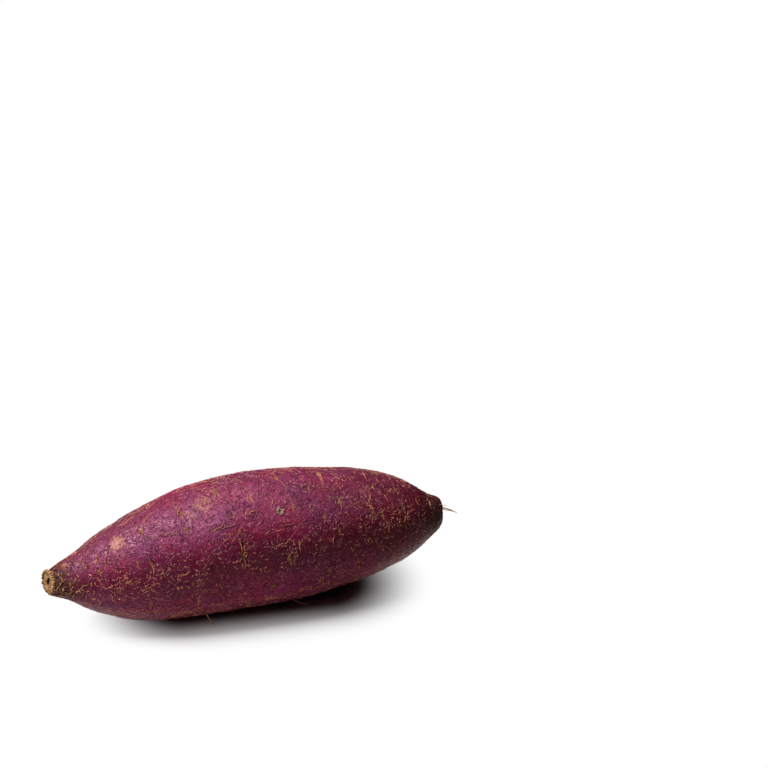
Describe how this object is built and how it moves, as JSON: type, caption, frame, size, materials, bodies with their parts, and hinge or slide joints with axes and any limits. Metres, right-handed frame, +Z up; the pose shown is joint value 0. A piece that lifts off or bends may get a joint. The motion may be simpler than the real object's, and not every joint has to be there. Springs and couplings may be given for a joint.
{
  "type": "purple yam",
  "caption": "Whole purple-skinned storage root, spindle shaped, with a cut stalk scar at one end and a blunt root tip at the other, lying on its side.",
  "frame": {"origin": "on the surface the yam lies on, under the middle of its box", "axes": "+X along the root from the stalk scar to the root tip, +Z up, +Y across the root away from the side with the root eyes in the mid-belly"},
  "size_m": [0.2308, 0.0774, 0.0747],
  "materials": {
    "skin": null,
    "cork": "matt, rough cork of the stalk scar and the crusts round the root eyes",
    "scurf": "matt, dry curled flakes of the outer skin",
    "root_fibre": "matt, dry hair roots and short stubs"
  },
  "bodies": {
    "root": {"tuber": "skin"}
  },
  "joints": []
}
